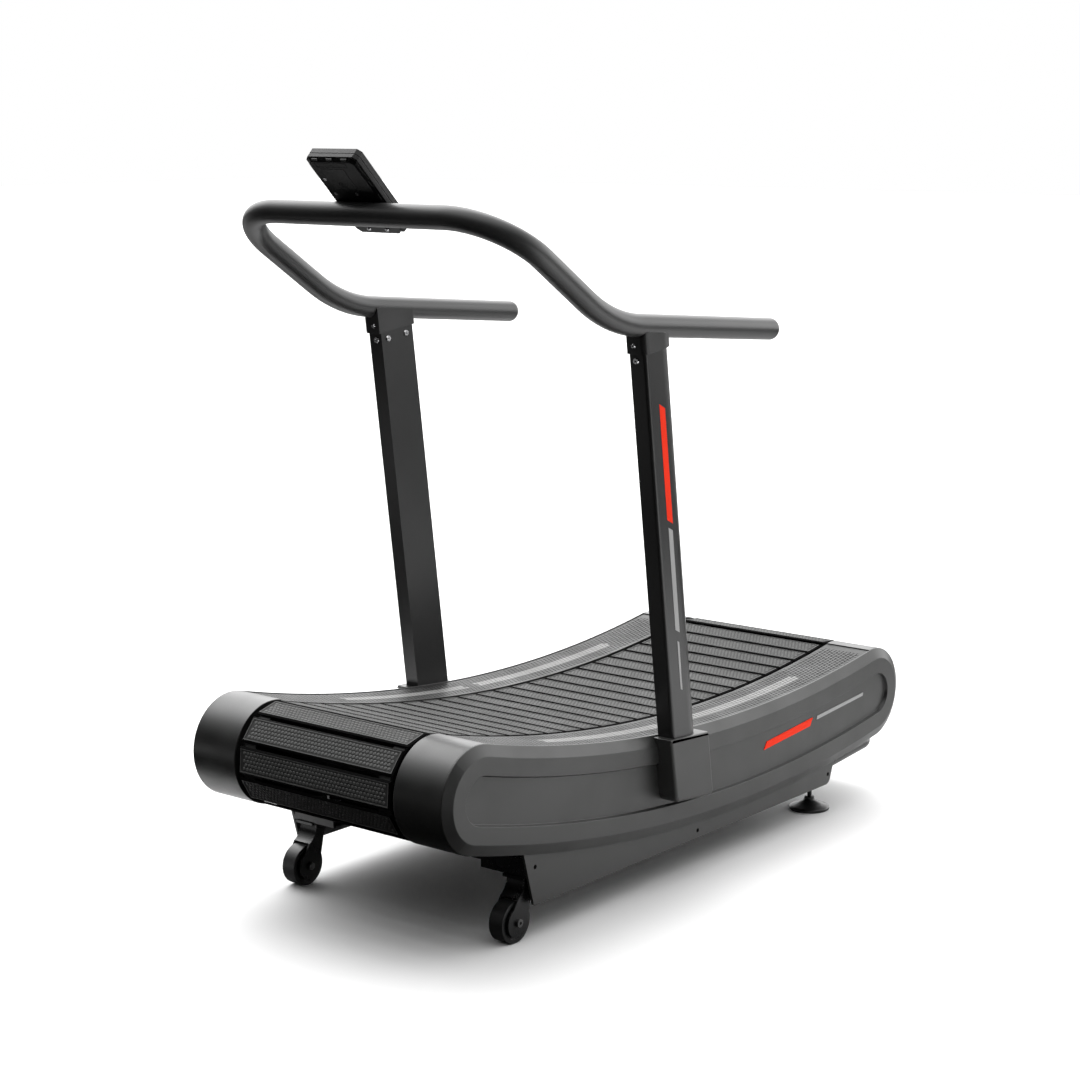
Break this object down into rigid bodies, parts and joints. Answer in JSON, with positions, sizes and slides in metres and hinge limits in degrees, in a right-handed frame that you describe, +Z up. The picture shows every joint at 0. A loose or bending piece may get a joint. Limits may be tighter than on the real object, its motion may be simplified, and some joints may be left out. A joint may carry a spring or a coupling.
{
  "type": "manual treadmill",
  "caption": "Curved motorless running treadmill: a concave endless slat belt between side covers, leaning uprights, a wrap-around handlebar and a small tilted console.",
  "frame": {"origin": "on the floor, below the middle of the overall box", "axes": "+X to the runner's left, +Y towards the rear of the deck (the runner faces -Y and the console), +Z up"},
  "size_m": [0.814, 1.7778, 1.6505],
  "materials": {
    "cover_plastic": "satin dark grey moulded cover",
    "frame_paint": "satin dark grey powder coat",
    "cast_paint": "dark grey powder coat on cast aluminium",
    "black_paint": "satin black powder coat",
    "slat_tread": "aluminium plank under a moulded grey tread with a fine relief",
    "carrier_rubber": "ribbed black rubber",
    "steel": "machined steel",
    "screw_steel": "zinc plated",
    "wheel_rubber": "black polyurethane",
    "black_plastic": "fine-grained black",
    "lens": "clear window",
    "display": "liquid crystal grey-green",
    "board": "green solder mask",
    "battery": "foil-wrapped cell",
    "button_rubber": "soft grey button",
    "foot_black": "black"
  },
  "bodies": {
    "frame": {"side_frame_right": "frame_paint", "side_frame_left": "frame_paint", "guide_bearings_right": "steel", "guide_bearings_left": "steel", "front_bearing_blocks": "black_paint", "rear_bearing_blocks": "black_paint", "base_rail_right": "frame_paint", "base_rail_left": "frame_paint", "cross_members": "black_paint", "rail_brackets": "frame_paint", "lift_handle": "black_paint", "side_cover_right": "cover_plastic", "side_cover_left": "cover_plastic", "foot_rail_right": "cover_plastic", "foot_rail_left": "cover_plastic", "post_right": "frame_paint", "post_left": "frame_paint", "post_boot_right": "cast_paint", "post_boot_left": "cast_paint", "handlebar_socket_right": "cast_paint", "handlebar_socket_left": "cast_paint", "handlebar": "frame_paint", "handlebar_end_caps": "frame_paint", "upright_screws": "screw_steel", "console_mount": "black_paint", "console_back": "black_plastic", "console_front": "black_plastic", "console_lens": "lens", "console_display": "display", "console_board": "board", "console_batteries": "battery", "battery_cover": "black_plastic", "console_screws": "screw_steel", "wheel_fork_right": "black_paint", "wheel_fork_left": "black_paint", "wheel_bolts": "screw_steel", "foot_lock_nuts": "screw_steel", "speed_sensor": "black_plastic"},
    "belt_upper_run": {"upper_slats": "slat_tread", "upper_carrier_belts": "carrier_rubber"},
    "belt_rear_wrap": {"rear_slats": "slat_tread", "rear_carrier_belts": "carrier_rubber", "rear_drum": "black_paint"},
    "belt_lower_run": {"lower_slats": "slat_tread", "lower_carrier_belts": "carrier_rubber"},
    "belt_front_wrap": {"front_slats": "slat_tread", "front_carrier_belts": "carrier_rubber", "front_drum": "black_paint", "sensor_magnet": "steel"},
    "wheel_right": {"transport_wheel_right": "wheel_rubber"},
    "wheel_left": {"transport_wheel_left": "wheel_rubber"},
    "foot_right": {"levelling_foot_right": "foot_black"},
    "foot_left": {"levelling_foot_left": "foot_black"},
    "key_start": {"button_start": "button_rubber"},
    "key_stop": {"button_stop": "button_rubber"},
    "key_up": {"button_up": "button_rubber"},
    "key_down": {"button_down": "button_rubber"},
    "key_enter": {"button_enter": "button_rubber"},
    "key_program": {"button_program": "button_rubber"}
  },
  "joints": [
    {"name": "belt_travel", "type": "hinge", "parent": "frame", "child": "belt_upper_run", "pos_m": [0, 0.195, 4.057], "axis": [1, 0, 0], "range_deg": [-0.23, 0.23]},
    {"name": "front_drum_turn", "type": "hinge", "parent": "frame", "child": "belt_front_wrap", "pos_m": [0, -0.7725, 0.35638], "axis": [1, 0, 0], "range_deg": [-8.09, 8.09]},
    {"name": "rear_drum_turn", "type": "hinge", "parent": "frame", "child": "belt_rear_wrap", "pos_m": [0, 0.774, 0.27608], "axis": [1, 0, 0], "range_deg": [-8.09, 8.09]},
    {"name": "lower_run_travel", "type": "hinge", "parent": "frame", "child": "belt_lower_run", "pos_m": [0, 0.195, 4.057], "axis": [1, 0, 0], "range_deg": [-0.227, 0.227]},
    {"name": "transport_wheel_left_spin", "type": "hinge", "parent": "frame", "child": "wheel_left", "pos_m": [0.3037, -0.6118, 0.046], "axis": [1, 0, 0], "continuous": true},
    {"name": "transport_wheel_right_spin", "type": "hinge", "parent": "frame", "child": "wheel_right", "pos_m": [-0.3037, -0.6118, 0.046], "axis": [1, 0, 0], "continuous": true},
    {"name": "levelling_foot_left_screw", "type": "slide", "parent": "frame", "child": "foot_left", "axis": [0, 0, 1], "range_m": [-0.024, 0]},
    {"name": "levelling_foot_right_screw", "type": "slide", "parent": "frame", "child": "foot_right", "axis": [0, 0, 1], "range_m": [-0.024, 0]},
    {"name": "button_start_press", "type": "slide", "parent": "frame", "child": "key_start", "axis": [0, -0.7022, -0.712], "range_m": [0, 0.0012], "stiffness_N_per_m": 900},
    {"name": "button_stop_press", "type": "slide", "parent": "frame", "child": "key_stop", "axis": [0, -0.7022, -0.712], "range_m": [0, 0.0012], "stiffness_N_per_m": 900},
    {"name": "button_up_press", "type": "slide", "parent": "frame", "child": "key_up", "axis": [0, -0.7022, -0.712], "range_m": [0, 0.0012], "stiffness_N_per_m": 900},
    {"name": "button_down_press", "type": "slide", "parent": "frame", "child": "key_down", "axis": [0, -0.7022, -0.712], "range_m": [0, 0.0012], "stiffness_N_per_m": 900},
    {"name": "button_enter_press", "type": "slide", "parent": "frame", "child": "key_enter", "axis": [0, -0.7022, -0.712], "range_m": [0, 0.0012], "stiffness_N_per_m": 900},
    {"name": "button_program_press", "type": "slide", "parent": "frame", "child": "key_program", "axis": [0, -0.7022, -0.712], "range_m": [0, 0.0012], "stiffness_N_per_m": 900}
  ],
  "couplings": [
    {"joint": "front_drum_turn", "follows": "belt_travel", "ratio": -34.748},
    {"joint": "rear_drum_turn", "follows": "belt_travel", "ratio": -34.748},
    {"joint": "lower_run_travel", "follows": "belt_travel", "ratio": -0.94558}
  ]
}
